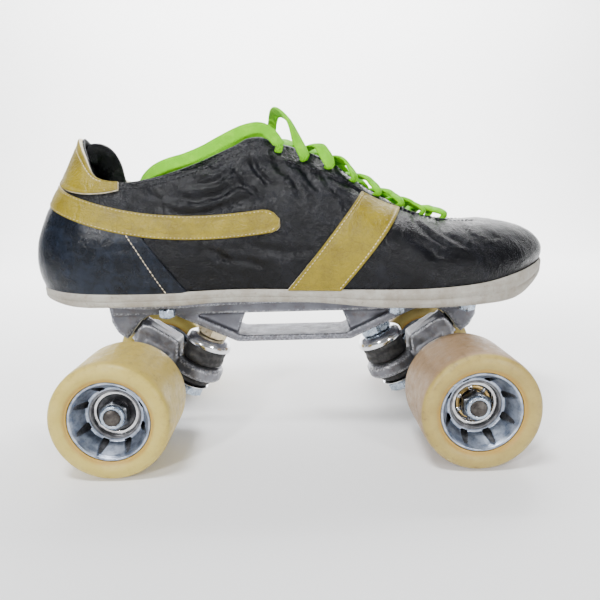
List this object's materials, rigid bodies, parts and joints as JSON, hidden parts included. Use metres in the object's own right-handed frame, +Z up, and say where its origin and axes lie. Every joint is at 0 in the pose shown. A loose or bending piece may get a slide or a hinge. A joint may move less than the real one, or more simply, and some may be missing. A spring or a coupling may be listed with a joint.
{
  "type": "quad roller skate",
  "caption": "Low-cut lace-up leather roller skate on a cast truss plate, with two tilting cushioned trucks and four free-running bearing wheels.",
  "frame": {"origin": "on the floor midway between the two axles, under the middle of the skate", "axes": "+X to the toe, +Z up, -Y to the outer side of the foot"},
  "size_m": [0.2821, 0.152, 0.1713],
  "materials": {
    "urethane": "translucent cast urethane, satin, lightly worn tread",
    "hub_aluminium": "machined, satin with a bright rim",
    "bearing_steel": "ground steel races with dark shields",
    "cast_aluminium": "sand-cast and tumbled, dull grey with rubbed edges",
    "zinc_steel": "zinc plated, bluish",
    "plain_steel": "plain turned steel",
    "polished_cup": "polished spun steel",
    "cushion_rubber": "matt black rubber",
    "pivot_nylon": "natural nylon",
    "black_leather": "creased full-grain black leather with a blue-grey sheen",
    "counter_leather": "smooth blue-black leather, semi-gloss",
    "gold_leather": "grained mustard-gold leather with pale raw edges and cream stitching",
    "sole_rubber": "aged off-white rubber and leather board",
    "insole_leather": "worn tan leather board",
    "lace_fabric": "flat woven neon green lace"
  },
  "bodies": {
    "skate": {"front_cushion_cup": "polished_cup", "front_cushion_lower": "cushion_rubber", "front_cushion_upper": "cushion_rubber", "front_cushion_washer": "plain_steel", "front_jam_nut": "zinc_steel", "front_kingpin": "plain_steel", "front_kingpin_nut": "zinc_steel", "front_pivot_cup": "pivot_nylon", "heel_band": "gold_leather", "heel_counter": "counter_leather", "heel_tab": "gold_leather", "insole": "insole_leather", "lace": "lace_fabric", "lace_tail_inner": "lace_fabric", "lace_tail_outer": "lace_fabric", "outsole": "sole_rubber", "plate": "cast_aluminium", "plate_bolt_inner_1": "zinc_steel", "plate_bolt_inner_2": "zinc_steel", "plate_bolt_inner_3": "zinc_steel", "plate_bolt_outer_1": "zinc_steel", "plate_bolt_outer_2": "zinc_steel", "plate_bolt_outer_3": "zinc_steel", "rear_cushion_cup": "polished_cup", "rear_cushion_lower": "cushion_rubber", "rear_cushion_upper": "cushion_rubber", "rear_cushion_washer": "plain_steel", "rear_jam_nut": "zinc_steel", "rear_kingpin": "plain_steel", "rear_kingpin_nut": "zinc_steel", "rear_pivot_cup": "pivot_nylon", "saddle_strap_inner": "gold_leather", "saddle_strap_outer": "gold_leather", "tongue": "black_leather", "upper": "black_leather"},
    "front_truck": {"front_hanger": "cast_aluminium", "front_axle": "plain_steel", "front_axle_nut_outer": "zinc_steel", "front_axle_nut_inner": "zinc_steel"},
    "front_outer_wheel": {"front_outer_bearing_inboard": "bearing_steel", "front_outer_bearing_outboard": "bearing_steel", "front_outer_hub": "hub_aluminium", "front_outer_tyre": "urethane"},
    "front_inner_wheel": {"front_inner_bearing_inboard": "bearing_steel", "front_inner_bearing_outboard": "bearing_steel", "front_inner_hub": "hub_aluminium", "front_inner_tyre": "urethane"},
    "rear_truck": {"rear_hanger": "cast_aluminium", "rear_axle": "plain_steel", "rear_axle_nut_outer": "zinc_steel", "rear_axle_nut_inner": "zinc_steel"},
    "rear_outer_wheel": {"rear_outer_bearing_inboard": "bearing_steel", "rear_outer_bearing_outboard": "bearing_steel", "rear_outer_hub": "hub_aluminium", "rear_outer_tyre": "urethane"},
    "rear_inner_wheel": {"rear_inner_bearing_inboard": "bearing_steel", "rear_inner_bearing_outboard": "bearing_steel", "rear_inner_hub": "hub_aluminium", "rear_inner_tyre": "urethane"}
  },
  "joints": [
    {"name": "front_truck_tilt", "type": "hinge", "parent": "skate", "child": "front_truck", "pos_m": [0.057, 0, 0.0305], "axis": [0.7986, 0, 0.6018], "range_deg": [-8, 8], "stiffness_Nm_per_rad": 30, "deforming": ["front_cushion_upper", "front_cushion_lower"]},
    {"name": "rear_truck_tilt", "type": "hinge", "parent": "skate", "child": "rear_truck", "pos_m": [-0.057, 0, 0.0305], "axis": [-0.7986, 0, 0.6018], "range_deg": [-8, 8], "stiffness_Nm_per_rad": 30, "deforming": ["rear_cushion_upper", "rear_cushion_lower"]},
    {"name": "front_outer_wheel_spin", "type": "hinge", "parent": "front_truck", "child": "front_outer_wheel", "pos_m": [0.086, -0.055, 0.0285], "axis": [0, 1, 0], "continuous": true},
    {"name": "front_inner_wheel_spin", "type": "hinge", "parent": "front_truck", "child": "front_inner_wheel", "pos_m": [0.086, 0.055, 0.0285], "axis": [0, 1, 0], "continuous": true},
    {"name": "rear_outer_wheel_spin", "type": "hinge", "parent": "rear_truck", "child": "rear_outer_wheel", "pos_m": [-0.086, -0.055, 0.0285], "axis": [0, 1, 0], "continuous": true},
    {"name": "rear_inner_wheel_spin", "type": "hinge", "parent": "rear_truck", "child": "rear_inner_wheel", "pos_m": [-0.086, 0.055, 0.0285], "axis": [0, 1, 0], "continuous": true}
  ]
}
